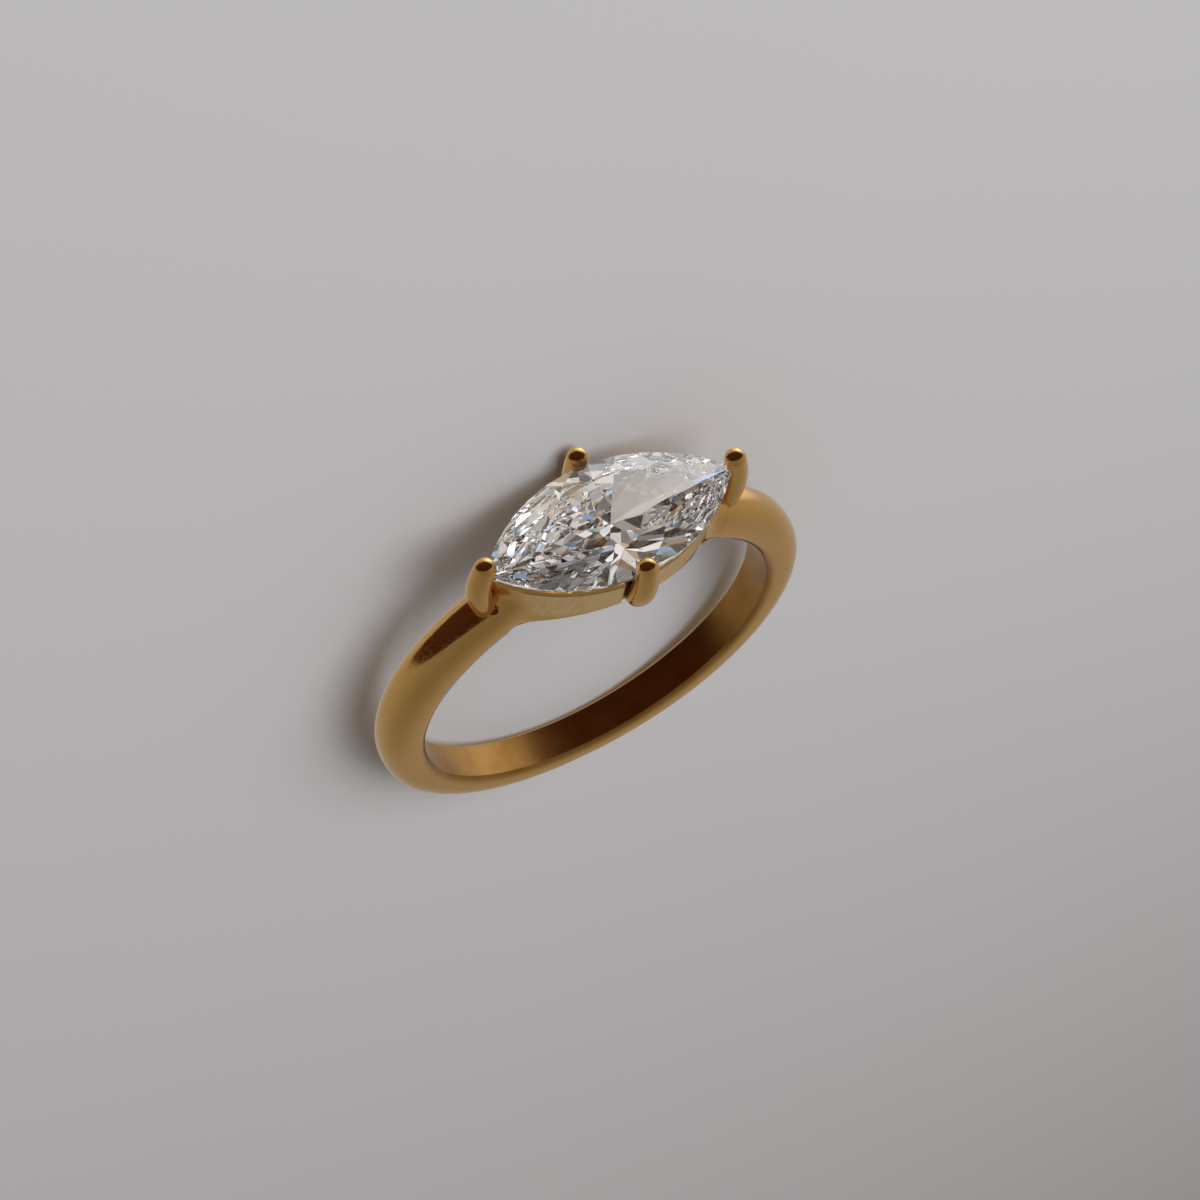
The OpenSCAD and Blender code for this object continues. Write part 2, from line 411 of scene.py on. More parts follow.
def band_tree():
    """An oval section swept round the finger, fuller towards the stone."""
    number, whole = "NodeSocketFloat", "NodeSocketInt"
    tree, given = new_tree(
        "Swept band",
        "GeometryNodeTree",
        [
            ("Geometry", "NodeSocketGeometry"),
            ("Hole Radius", number),
            ("Low Width", number),
            ("Top Width", number),
            ("Low Thickness", number),
            ("Top Thickness", number),
            ("Outside Fullness", number),
            ("Inside Fullness", number),
            ("Stations", whole),
            ("Section Points", whole),
            ("Material", "NodeSocketMaterial"),
        ],
        [("Geometry", "NodeSocketGeometry")],
    )
    x, y, _ = position_parts(tree)
    outer = y.over(0.0)
    power = 2.0 / blend(given["Inside Fullness"], given["Outside Fullness"], outer)
    half = blend(WIDEST_SHARE, 1.0 - WIDEST_SHARE, outer)
    across = x.calc("SIGN") * x.calc("ABSOLUTE") ** power * 0.5
    outwards = y.calc("SIGN") * y.calc("ABSOLUTE") ** power * half + WIDEST_SHARE
    section = unit_circle(tree, given["Section Points"])
    section = moved_to(tree, section, outwards * SWEEP_SCALE, across * SWEEP_SCALE, 0.0)
    values = {"Curve": unit_circle(tree, given["Stations"]), "Profile Curve": section}
    swept = add(tree, "GeometryNodeCurveToMesh", values)

    # The even ring becomes the real one. Each point keeps its station and its place in the section
    x, y, z = position_parts(tree)
    radius = (x * x + y * y) ** 0.5
    east, north = x / radius, y / radius
    rise = ((north + 1.0) * 0.5) ** 0.5
    thickness = blend(given["Low Thickness"], given["Top Thickness"], rise) + HOLE_BITE
    width = blend(given["Low Width"], given["Top Width"], rise)
    real_radius = given["Hole Radius"] - HOLE_BITE + thickness * (radius - 1.0) / SWEEP_SCALE
    real = moved_to(
        tree, swept.outputs[0], east * real_radius, -z / SWEEP_SCALE * width, north * real_radius
    )
    end_in_metal(tree, without_doubles(tree, real), given["Material"])
    return tree


# Prongs

PRONG_STEPS = 96
PRONG_SIDES = 40
# Share of the steps that each round end takes
CAP_SHARE = 0.16
# The prongs bend this far under the girdle, in millimetres
BEND_DROP = 1
# The foot of a prong at the belly, out from the wall and up from the finger hole, in shafts
BELLY_FOOT_OUT = 1 / 16
BELLY_FOOT_UP = 3 / 8


def prong_tree():
    """Round posts with round ends that bow outwards, stood at even turns about the stone"""
    number, whole, vector = "NodeSocketFloat", "NodeSocketInt", "NodeSocketVector"
    tree, given = new_tree(
        "Standing prongs",
        "GeometryNodeTree",
        [
            ("Geometry", "NodeSocketGeometry"),
            ("Foot", vector),
            ("Bend", vector),
            ("Tip", vector),
            ("Foot Diameter", number),
            ("Tip Diameter", number),
            ("First Turn", number),
            ("Count", whole),
            ("Steps", whole),
            ("Sides", whole),
            ("Material", "NodeSocketMaterial"),
        ],
        [("Geometry", "NodeSocketGeometry")],
    )
    line = add(tree, "GeometryNodeCurvePrimitiveLine", {"Start": (0, 0, 0), "End": (0, 0, 1)})
    values = {"Curve": line.outputs[0], "Count": given["Steps"]}
    path = add(tree, "GeometryNodeResampleCurve", values)
    # Counted by points, since the share of the length changes when the path is moved
    index = Field(tree, tree.nodes.new("GeometryNodeInputIndex").outputs[0])
    factor = index / (given["Steps"] - 1.0)

    # Each end of the path turns through a quarter circle, and the shaft lies between the two
    quarter = math.pi / 2
    foot_angle = factor.until(0.0, CAP_SHARE) * quarter
    tip_angle = factor.between(1.0 - CAP_SHARE, 1.0) * quarter
    t = factor.between(CAP_SHARE, 1.0 - CAP_SHARE)
    radius = blend(given["Foot Diameter"], given["Tip Diameter"], t * t) * 0.5
    overshoot = radius * (tip_angle.calc("SINE") - foot_angle.calc("SINE"))
    roundness = foot_angle.calc("COSINE") * tip_angle.calc("COSINE")

    # The shaft is a quadratic curve from the foot to the tip that bows towards the bend
    foot, bend, tip = (vector_parts(tree, given[name]) for name in ("Foot", "Bend", "Tip"))
    places, slopes = [], []
    for start, middle, end in zip(foot, bend, tip):
        places.append(blend(blend(start, middle, t), blend(middle, end, t), t))
        slopes.append(blend(middle - start, end - middle, t))
    steepness = (slopes[0] * slopes[0] + slopes[1] * slopes[1] + slopes[2] * slopes[2]) ** 0.5
    x, y, z = (place + slope / steepness * overshoot for place, slope in zip(places, slopes))
    shaft = moved_to(tree, path.outputs[0], x, y, z)
    circle = unit_circle(tree, given["Sides"])
    values = {"Curve": shaft, "Profile Curve": circle, "Scale": radius * roundness}
    post = add(tree, "GeometryNodeCurveToMesh", values)
    closed_post = without_doubles(tree, post.outputs[0])
    spots = add(tree, "GeometryNodePoints", {"Count": given["Count"]})
    step = 2 * math.pi / given["Count"]
    angle = add(tree, "ShaderNodeCombineXYZ", {"Z": given["First Turn"] + index * step})
    stood = add(
        tree,
        "GeometryNodeInstanceOnPoints",
        {"Points": spots.outputs[0], "Instance": closed_post, "Rotation": angle.outputs[0]},
    )
    end_in_metal(tree, stood.outputs[0], given["Material"])
    return tree


# Basket

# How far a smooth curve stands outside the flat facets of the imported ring, in millimetres
BULGE = 0.015
# Turn past which an edge stays sharp, in degrees
EDGE_ANGLE = 28
# A point this near the finger hole's radius lies on it, in millimetres
HOLE_SKIN = 1e-3
OUTLINE_STEPS = 160
SKIN_VOXEL = 0.09
FILLET_PASSES = 40
HOLE_SIDES = 720
# How far, in millimetres, a cutting shape reaches past what it cuts and past the rim's bevel
REACH = 3.0
BEVEL_REACH = 0.3
# Height of the wall's foot, as a share of the finger hole's radius
FOOT_SHARE = 0.6
# Out to this share of the fillet, the corner flows in full
FULL_FLOW = 0.35


class Head:
    """Heights and outlines of the stone's basket, upright and in millimetres."""

    def __init__(self, sizes):
        self.half_length = sizes.stone_length / MM / 2
        self.half_width = sizes.stone_width / MM / 2
        a, b = self.half_length, self.half_width
        self.arc_r = (a * a + b * b) / (2 * b)
        self.arc_off = self.arc_r - b
        self.girdle_up = sizes.girdle_up / MM
        self.rim_up = self.girdle_up - sizes.rim_drop / MM
        self.foot_up = FINGER_R * FOOT_SHARE
        self.inset = sizes.rim_inset / MM
        self.lean = sizes.lean / MM

    def wall_in(self, up):
        """How far the wall stands in from the stone's outline at a height"""
        return self.inset + self.lean * (self.rim_up - up) / (self.rim_up - self.foot_up)

    def outline(self, grow):
        """Points of the stone's two arcs, grown outwards"""
        r = self.arc_r + grow
        half = math.acos(self.arc_off / r)
        points = []
        for side in (1, -1):
            for k in range(OUTLINE_STEPS):
                a = math.pi / 2 - half + 2 * half * k / OUTLINE_STEPS
                points.append((side * r * math.cos(a), side * (r * math.sin(a) - self.arc_off)))
        return points

    def plug(self, name, levels):
        """A closed marquise shape through levels of (height, growth)"""
        rings = [[(x, y, up) for x, y in self.outline(grow)] for up, grow in levels]
        count = len(rings[0])
        faces = [list(range(count))[::-1]]
        for low in range(0, count * (len(rings) - 1), count):
            faces += [
                (low + k, low + (k + 1) % count, low + count + (k + 1) % count, low + count + k)
                for k in range(count)
            ]
        faces.append([count * (len(rings) - 1) + k for k in range(count)])
        mesh = bpy.data.meshes.new(name)
        mesh.from_pydata([point for ring in rings for point in ring], [], faces)
        return new_object(name, mesh)

    def wall_plug(self, name, low, high, inwards):
        """A plug that follows the wall's lean, stood in from the wall's outside"""
        return self.plug(name, [(up, -self.wall_in(up) - inwards) for up in (low, high)])


def block(name, low, high):
    """A box between two corners"""
    mesh = bpy.data.meshes.new(name)
    shape = bmesh.new()
    bmesh.ops.create_cube(shape, size=1)
    for vertex in shape.verts:
        vertex.co = [a if c < 0 else b for a, b, c in zip(low, high, vertex.co)]
    shape.to_mesh(mesh)
    shape.free()
    return new_object(name, mesh)


def finger_rod(name, radius, reach):
    """A rod along the finger, as the finger hole is cut"""
    mesh = bpy.data.meshes.new(name)
    shape = bmesh.new()
    bmesh.ops.create_cone(
        shape,
        cap_ends=True,
        segments=HOLE_SIDES,
        radius1=radius,
        radius2=radius,
        depth=2 * reach,
        matrix=Matrix.Rotation(math.pi / 2, 4, "X"),
    )
    shape.to_mesh(mesh)
    shape.free()
    return new_object(name, mesh)


def fillet_tree():
    """Lays a remeshed skin back on its true surface and lets the corner between two pieces flow."""
    thing = "NodeSocketObject"
    tree, given = new_tree(
        "Flowing corner",
        "GeometryNodeTree",
        [
            ("Geometry", "NodeSocketGeometry"),
            ("Whole", thing),
            ("First Piece", thing),
            ("Second Piece", thing),
            ("Radius", "NodeSocketFloat"),
            ("Passes", "NodeSocketInt"),
            ("Material", "NodeSocketMaterial"),
        ],
        [("Geometry", "NodeSocketGeometry")],
    )

    def nearest(name):
        info = add(tree, "GeometryNodeObjectInfo", {"Object": given[name]})
        return add(tree, "GeometryNodeProximity", {"Geometry": info.outputs["Geometry"]})

    true_place = nearest("Whole").outputs["Position"]
    values = {"Geometry": given["Geometry"], "Position": true_place}
    snapped = add(tree, "GeometryNodeSetPosition", values)
    farther = Field(tree, nearest("First Piece").outputs["Distance"]).calc(
        "MAXIMUM", nearest("Second Piece").outputs["Distance"]
    )
    weight = farther.until(given["Radius"] * FULL_FLOW, given["Radius"])
    position = tree.nodes.new("GeometryNodeInputPosition")
    eased = add(
        tree,
        "GeometryNodeBlurAttribute",
        {0: position.outputs[0], "Iterations": given["Passes"], "Weight": weight},
        data_type="FLOAT_VECTOR",
    )
    flowing = add(
        tree,
        "GeometryNodeSetPosition",
        {"Geometry": snapped.outputs[0], "Position": eased.outputs[0]},
    )
    end_in_metal(tree, flowing.outputs[0], given["Material"])
    return tree


def flowed_together(name, first, second, radius, material):
    """One skin round two pieces, with a flowing corner where they meet."""
    whole = new_object("whole", first.data.copy())
    combined(whole, new_object("other", second.data.copy()), "UNION")
    skin = new_object(name, whole.data.copy())
    modifier = skin.modifiers.new("skin", "REMESH")
    modifier.mode = "VOXEL"
    modifier.voxel_size = SKIN_VOXEL
    applied(skin)
    shaped(
        skin,
        fillet_tree(),
        {
            "Whole": whole,
            "First Piece": first,
            "Second Piece": second,
            "Radius": radius,
            "Passes": FILLET_PASSES,
            "Material": material,
        },
    )
    for piece in (whole, first, second):
        bpy.data.objects.remove(piece)
    return skin


def smooth_between_edges(piece):
    """Smooth faces led by the largest, sharp past EDGE_ANGLE and round the finger hole"""
    mesh = piece.data
    mesh.polygons.foreach_set("use_smooth", [True] * len(mesh.polygons))
    mesh.set_sharp_from_angle(angle=math.radians(EDGE_ANGLE))
    shape = bmesh.new()
    shape.from_mesh(mesh)
    radii = {v: math.hypot(v.co.x, v.co.z) for v in shape.verts}
    in_hole = {v for v, radius in radii.items() if abs(radius - FINGER_R) < HOLE_SKIN}
    hole_faces = {face for face in shape.faces if all(v in in_hole for v in face.verts)}
    for edge in shape.edges:
        if sum(face in hole_faces for face in edge.link_faces) == 1:
            edge.smooth = False
    shape.to_mesh(mesh)
    shape.free()
    modifier = piece.modifiers.new("even", "WEIGHTED_NORMAL")
    modifier.keep_sharp = True
    applied(piece)


def stone_seat(head, room):
    """The stone's own shape with room all round, upright and in millimetres"""
    shape = bmesh.new()
    shape.from_mesh(frame["nodes"][STONE_NODE].data)
    bmesh.ops.transform(shape, matrix=LAID_MM.inverted(), verts=shape.verts)
    bmesh.ops.remove_doubles(shape, verts=shape.verts, dist=DOUBLES)
    middle = Vector((0, 0, head.girdle_up))
    for vertex in shape.verts:
        away = vertex.co - middle
        vertex.co += Vector([math.copysign(room, v) if abs(v) > room else 0 for v in away])
    mesh = bpy.data.meshes.new("seat")
    shape.to_mesh(mesh)
    shape.free()
    return new_object("seat", mesh)


class RING_OT_metal(bpy.types.Operator):
    """Makes the band, its basket and the four prongs in one polished piece"""

    bl_idname = "ring.metal"
    bl_label = "Gold ring"

    def execute(self, context):
        scene = context.scene
        sizes, walls, posts = scene.ring_band, scene.ring_basket, scene.ring_prongs
        head = Head(walls)
        diameter, tip_diameter = posts.diameter / MM - BULGE, posts.tip / MM - BULGE
        notch_half = (posts.diameter / 2 + walls.notch_side) / MM
        gold = polished_gold(scene.ring_gold, head, notch_half)

        band = grown(
            "band",
            band_tree(),
            {
                "Hole Radius": FINGER_R,
                "Low Width": sizes.width_low / MM - 2 * BULGE,
                "Top Width": sizes.width_top / MM - 2 * BULGE,
                "Low Thickness": sizes.thick_low / MM - BULGE,
                "Top Thickness": sizes.thick_top / MM - BULGE,
                "Outside Fullness": sizes.outside,
                "Inside Fullness": sizes.inside,
                "Stations": STATIONS,
                "Section Points": SECTION_POINTS,
                "Material": gold,
            },
        )
        basket = head.wall_plug("basket", head.foot_up, head.rim_up + REACH, 0)
        ring = flowed_together(RING_PIECE, band, basket, sizes.fillet / MM, gold)

        # Everything above the rim goes, and the same cut bevels the rim's outer edge
        bevel = walls.bevel / MM
        low = head.rim_up - bevel - BEVEL_REACH
        at_rim = -head.wall_in(head.rim_up - bevel) - bevel
        at_low = at_rim + bevel + BEVEL_REACH + REACH
        rim = head.plug("rim", [(low - REACH, at_low), (head.rim_up, at_rim)])
        far_x, far_y = head.half_length + REACH, head.half_width + REACH
        above = block("above", (-far_x, -far_y, low), (far_x, far_y, head.rim_up + 2 * REACH))
        combined(above, rim, "DIFFERENCE")
        combined(ring, above, "DIFFERENCE")

        # Notches behind the side prongs
        low, high = (-notch_half, -far_y, head.foot_up), (notch_half, far_y, head.rim_up + REACH)
        notch = block("notch", low, high)
        inside = head.wall_plug("inside", 0, head.rim_up + 2 * REACH, walls.notch_deep / MM)
        combined(notch, inside, "DIFFERENCE")
        combined(ring, notch, "DIFFERENCE")

        # Prongs
        tree = prong_tree()
        bend_up, tip_up = head.girdle_up - BEND_DROP, head.girdle_up + posts.tip_up / MM
        point_x, belly_y = head.half_length, head.half_width
        belly_foot = belly_y - head.wall_in(FINGER_R) + diameter * BELLY_FOOT_OUT
        pairs = {
            "point_prongs": (
                (point_x, FINGER_R),
                (point_x + posts.point_bow / MM, bend_up),
                (point_x + posts.point_out / MM, tip_up),
                0.0,
            ),
            "belly_prongs": (
                (belly_foot, FINGER_R + diameter * BELLY_FOOT_UP),
                (belly_y + posts.belly_bow / MM, bend_up),
                (belly_y + posts.belly_out / MM, tip_up),
                math.pi / 2,
            ),
        }
        for name, (foot, bend, tip, first_turn) in pairs.items():
            pair = grown(
                name,
                tree,
                {
                    "Foot": (foot[0], 0.0, foot[1]),
                    "Bend": (bend[0], 0.0, bend[1]),
                    "Tip": (tip[0], 0.0, tip[1]),
                    "Foot Diameter": diameter,
                    "Tip Diameter": tip_diameter,
                    "First Turn": first_turn,
                    "Count": 2,
                    "Steps": PRONG_STEPS,
                    "Sides": PRONG_SIDES,
                    "Material": gold,
                },
            )
            combined(ring, pair, "UNION")

        # Open middle of the basket, the stone's seat and the finger hole
        hollow = head.wall_plug("hollow", 0, head.girdle_up, walls.wall / MM)
        combined(ring, hollow, "DIFFERENCE")
        combined(ring, stone_seat(head, walls.room / MM), "DIFFERENCE")
        combined(ring, finger_rod("finger", FINGER_R, REACH * 2), "DIFFERENCE")

        only_material(ring.data, gold)
        smooth_between_edges(ring)
        ring.data.transform(LAID_MM)
        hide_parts(GOLD_NODE)
        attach(ring, ROOT)
        # What shows through the stone is the air's panes alone
        ring.visible_transmission = False
        return {"FINISHED"}


# Finishes

# Fine wear: where haze and scratches set in on their noise, how they share the roughness, and their
# heights in the bump
HAZE_EDGE = (0.35, 0.7)
SCRATCH_EDGE = (0.62, 0.72)
SCRATCH_SHARE = 0.15
HAZE_HEIGHT = 0.3
SCRATCH_DEPTH = 0.2
# Width of a scratch for each unit of its length, and how the two sets of scratches lie
SCRATCH_WIDTH = 0.03
SCRATCH_TURNS = ((0.3, 0.2, 0.5), (1.1, 0.4, 2.0))
# Noise between these values runs from 0 to 1
SOFT_NOISE = (0.3, 0.7)
SPOT_NOISE = (0.3, 0.6)

# Gold: blots and scratches in millimetres, and how far the roughness goes either way
GOLD_PATCH = 2.5
GOLD_SCRATCH = 0.5
GOLD_BLOT = 3.0
INSIDE_SHADE_BLOT = 1.5
NOTCH_BLOT = 0.12
GOLD_WEAR = (0.6, 1.5)
# Strength of the bump, and how deep its height of 1 is
GOLD_BUMP = (0.5, 0.01 * MM)
INSIDE_ROUGHNESS = 0.28
# Brush marks on the wall: their sizes and lean
STREAK_SIZES = (0.12, 0.12, 3.0)
STREAK_SLANT = math.radians(22)
# Shades of the gold and of its painted shade, and the least share of each finish between its own
# marks
GOLD_SHADE = 0.92
NOTCH_AND_RIM_SHADE = 0.12
LEAST_INSIDE_SHADE = 0.7
LEAST_SHEEN = 0.4
LEAST_NOTCH_SHADE = 0.5
RIM_SHADOW_SHARE = 0.85
STREAK_HEIGHT = 1.5
SOLDER_HEIGHT = 4.0

# Soft edges of the gold's finishes, upright and in millimetres.
# The band's inside, rougher and with painted shade, out from the finger hole's radius and along the
# finger
INSIDE_DEPTH = (0.05, 0.35)
INSIDE_END = (0.95, 1.05)
# The brushed wall with its painted sheen, out from the band's sides, up to the finger hole's
# radius, along to the stone's points and up to the rim
WALL_SIDE = (0.85, 1.3)
WALL_FOOT = (-0.5, 0.0)
WALL_END = (4.6, 5.2)
WALL_TOP = (-0.12, -0.06)
# The dark line of painted shadow under the rim
RIM_SHADOW_FOOT = (-0.17, -0.13)
RIM_SHADOW_TOP = (-0.1, -0.07)
RIM_SHADOW_SIDE = (0.85, 1.0)
RIM_SHADOW_END = (4.7, 4.9)
# A notch past its half width and in from the stone's belly, and the end there of the notch's
# painted shade and rough solder spots
NOTCH_SIDE = (-0.01, 0.03)
NOTCH_INNER = (-0.55, -0.45)
NOTCH_SHADE_OUTER = (-0.25, -0.12)

# Stone: patches and scratches in millimetres, and the most roughness of its facets
STONE_PATCH = 3.0
STONE_SCRATCH = 0.8
STONE_HAZE = 0.02


def only_material(mesh, material):
    mesh.materials.clear()
    mesh.materials.append(material)
    mesh.polygons.foreach_set("material_index", [0] * len(mesh.polygons))


def new_material(name, settings):
    """A material with one Principled shader, its own sockets set."""
    material = bpy.data.materials.new(name)
    material.use_nodes = True
    shader = material.node_tree.nodes["Principled BSDF"]
    for socket, value in settings.items():
        shader.inputs[socket].default_value = value
    return material, material.node_tree, shader


def object_place(tree):
    return tree.nodes.new("ShaderNodeTexCoord").outputs["Object"]


def noise(tree, place, size, detail):
    """Soft random value from 0 to 1 whose blots are about size across, in metres"""
    node = add(tree, "ShaderNodeTexNoise", {"Vector": place, "Scale": 1 / size, "Detail": detail})
    return Field(tree, node.outputs["Fac"])


def stretched(tree, place, sizes, rotation):
    """Place turned and measured in blots of these sizes, so that a pattern on it runs in lines"""
    settings = {"Vector": place, "Rotation": rotation, "Scale": sizes}
    return add(tree, "ShaderNodeMapping", settings, vector_type="TEXTURE").outputs["Vector"]


def wear_group():
    """Fine wear: soft hazy patches and hair-fine scratches, as a roughness and a height."""
    number = "NodeSocketFloat"
    tree, given = new_tree(
        "Fine wear",
        "ShaderNodeTree",
        [
            ("Place", "NodeSocketVector"),
            ("Patch Scale", number),
            ("Scratch Scale", number),
            ("Low", number),
            ("High", number),
        ],
        [("Roughness", number), ("Height", number)],
    )
    values = {"Vector": given["Place"], "Scale": given["Patch Scale"], "Detail": 4.0}
    patches = add(tree, "ShaderNodeTexNoise", values)
    lines = []
    for rotation in SCRATCH_TURNS:
        place = stretched(tree, given["Place"], (1, SCRATCH_WIDTH, 1), rotation)
        values = {"Vector": place, "Scale": given["Scratch Scale"], "Detail": 2.0}
        scratch = add(tree, "ShaderNodeTexNoise", values)
        lines.append(Field(tree, scratch.outputs["Fac"]).between(*SCRATCH_EDGE))
    scratches = lines[0].calc("MAXIMUM", lines[1])
    haze = Field(tree, patches.outputs["Fac"]).between(*HAZE_EDGE)
    wear = haze * (1.0 - SCRATCH_SHARE) + scratches * SCRATCH_SHARE
    height = haze * HAZE_HEIGHT - scratches * SCRATCH_DEPTH
    finish_tree(tree, {"Roughness": blend(given["Low"], given["High"], wear), "Height": height})
    return tree


def worn(tree, place, patch, scratch, low, high):
    """Roughness and height of fine wear, with its patches and scratches sized in metres"""
    group = bpy.data.node_groups.get("Fine wear") or wear_group()
    scales = {"Patch Scale": 1 / patch, "Scratch Scale": 1 / scratch}
    values = {"Place": place, **scales, "Low": low, "High": high}
    node = add(tree, "ShaderNodeGroup", values, node_tree=group)
    return Field(tree, node.outputs["Roughness"]), Field(tree, node.outputs["Height"])


def bumped(tree, shader, height, strength, distance):
    values = {"Height": height, "Strength": strength, "Distance": distance}
    node = add(tree, "ShaderNodeBump", values)
    tree.links.new(node.outputs["Normal"], shader.inputs["Normal"])


def mixed_colour(tree, amount, first, second):
    """Colour that goes from the first to the second as the amount goes from 0 to 1"""
    node = tree.nodes.new("ShaderNodeMix")
    node.data_type = "RGBA"
    feed(tree, amount, node.inputs["Factor"])
    for label, colour in (("A", first), ("B", second)):
        socket = next(s for s in node.inputs if s.name == label and s.type == "RGBA")
        value = colour if isinstance(colour, bpy.types.NodeSocket) else (*colour, 1)
        feed(tree, value, socket)
    return next(s for s in node.outputs if s.type == "RGBA")


def dimmed(colour, amount):
    return tuple(channel * amount for channel in colour)


def spread_noise(tree, place, size, detail=3.0, edge=SOFT_NOISE):
    """Noise whose middling values are spread out over 0 to 1"""
    return noise(tree, place, size, detail).between(*edge)


def near(middle, offsets):
    """Both ends of a soft edge that lies near a height or a width"""
    return [middle + offset for offset in offsets]


def upright_place(tree, place):
    """Place on the upright ring, in millimetres from the centre of the finger hole"""
    settings = {"Location": LAID.translation, "Rotation": LAID.to_euler(), "Scale": (MM, MM, MM)}
    node = add(tree, "ShaderNodeMapping", {"Vector": place, **settings}, vector_type="TEXTURE")
    return node.outputs["Vector"]


def polished_gold(look, head, notch_half):
    """Polished gold, brushed on the wall under the stone with a painted sheen, and with painted
    shade inside the band, under the rim and in the notches where side prongs are soldered
    """
    material, tree, shader = new_material("Polished gold", {"Metallic": 1.0})
    place = object_place(tree)
    upright = upright_place(tree, place)
    x, y, z = vector_parts(tree, upright)
    x, y = x.calc("ABSOLUTE"), y.calc("ABSOLUTE")
    from_middle = (x * x + z * z) ** 0.5
    inside = from_middle.until(*near(FINGER_R, INSIDE_DEPTH)) * y.until(*INSIDE_END)

    # The notches with their prongs cut the brushed wall in two. Painted shade darkens them, with
    # rough solder spots
    wall = y.between(*WALL_SIDE) * z.between(*near(FINGER_R, WALL_FOOT)) * x.until(*WALL_END)
    notch = x.until(*near(notch_half, NOTCH_SIDE)) * y.between(*near(head.half_width, NOTCH_INNER))
    notch_shade = wall * notch * y.until(*near(head.half_width, NOTCH_SHADE_OUTER))
    wall = wall * (1.0 - notch) * z.until(*near(head.rim_up, WALL_TOP))
    # A thin painted shadow under the rim's bevel
    line = z.between(*near(head.rim_up, RIM_SHADOW_FOOT)) * z.until(*near(head.rim_up, RIM_SHADOW_TOP))
    line = line * y.between(*RIM_SHADOW_SIDE) * x.until(*RIM_SHADOW_END) * (1.0 - notch)

    slanted = stretched(tree, upright, STREAK_SIZES, (0, STREAK_SLANT, 0))
    streaks = spread_noise(tree, slanted, 1.0)
    rough_spots = spread_noise(tree, upright, NOTCH_BLOT, 4.0, SPOT_NOISE)
    inside_shade_blots = spread_noise(tree, place, INSIDE_SHADE_BLOT * MM)
    tone = spread_noise(tree, place, GOLD_BLOT * MM)
    low, high = (look.roughness * factor for factor in GOLD_WEAR)
    roughness, height = worn(tree, place, GOLD_PATCH * MM, GOLD_SCRATCH * MM, low, high)

    colour = mixed_colour(tree, tone, dimmed(look.colour, GOLD_SHADE), tuple(look.colour))
    # Painted shade inside the band, in soft blots
    inside_shade_share = inside * blend(LEAST_INSIDE_SHADE, 1.0, inside_shade_blots)
    colour = mixed_colour(tree, inside_shade_share, colour, tuple(look.inside))
    # Painted sheen: the brush marks on the wall turn paler gold
    sheen_share = wall * blend(LEAST_SHEEN, 1.0, streaks)
    colour = mixed_colour(tree, sheen_share, colour, tuple(look.brushed_sheen))
    # Painted shade in the notches and a thin painted shadow line under the rim
    dark = notch_shade * blend(LEAST_NOTCH_SHADE, 1.0, rough_spots) * look.notch_shade + line * RIM_SHADOW_SHARE
    dark = dark.calc("MINIMUM", 1.0)
    colour = mixed_colour(tree, dark, colour, dimmed(look.colour, NOTCH_AND_RIM_SHADE))
    feed(tree, colour, shader.inputs["Base Color"])

    roughness = blend(roughness, INSIDE_ROUGHNESS, inside)
    feed(tree, blend(roughness, look.brushed, wall), shader.inputs["Roughness"])
    # Bumps of the brush marks, and of rough solder spots in the notches
    height = height + wall * streaks * STREAK_HEIGHT + notch_shade * rough_spots * SOLDER_HEIGHT
    bumped(tree, shader, height, *GOLD_BUMP)
    return material


def cut_stone(look):
    settings = {"Base Color": (1, 1, 1, 1), "Transmission Weight": 1.0, "IOR": look.ior}
    material, tree, shader = new_material("Cut stone", settings)
    place = object_place(tree)
    roughness, _ = worn(tree, place, STONE_PATCH * MM, STONE_SCRATCH * MM, 0.0, STONE_HAZE)
    feed(tree, roughness, shader.inputs["Roughness"])
    return material


class RING_OT_stone(bpy.types.Operator):
    """Gives the cut stone its clear finish"""

    bl_idname = "ring.stone"
    bl_label = "Marquise stone"

    def execute(self, context):
        clear = cut_stone(context.scene.ring_stone)
        stone = frame["nodes"][STONE_NODE]
        for slot in stone.material_slots:
            slot.material = clear
        return {"FINISHED"}


# Stage

FLOOR_HALF = 3000 * MM
# Floor: patches, scratches and blots in millimetres, roughness, shade and bump
FLOOR_PATCH = 18
FLOOR_SCRATCH = 2
FLOOR_BLOT = 25
FLOOR_ROUGHNESS = (0.75, 0.9)
FLOOR_SHADE = 0.985
FLOOR_BUMP = (0.05, 0.02 * MM)
# The large light looks at this height over the finger hole's centre
KEY_AIM = 5 * MM

# Ways out from the ring as the camera has them, with X to its right, Y up and Z back towards it.
# A soft edge lies between two cosines to such a way. The dark room lies past both of its edges
ROOM_EDGES = (((-0.214, 0.825, 0.524), 0.12), ((0.0, -0.6, 0.8), -0.4))
ROOM_SOFT = (-0.03, 0.03)
WINDOW_WAY = (0.295, 0.875, -0.383)
WINDOW_EDGE = (0.8, 0.9)
SUN_EDGE = (0.975, 0.99)
SUN_TINT = (1.0, 0.9, 0.75)
# The wide even pane that the stone shows, by a way in the row's own frame
EVEN_WAY = Vector((0.15, 0.95, 0.1)).normalized()
EVEN_EDGE = (0.76, 0.8)
# Colours of the pale panes and of the gaps, and those that the stone splits out of the panes
PANE_TINT = (1.0, 0.94, 0.88)
GAP_TINT = (1.0, 0.75, 0.5)
WARM_FIRE = (1.0, 0.6, 0.28)
COOL_FIRE = (0.45, 0.68, 1.0)
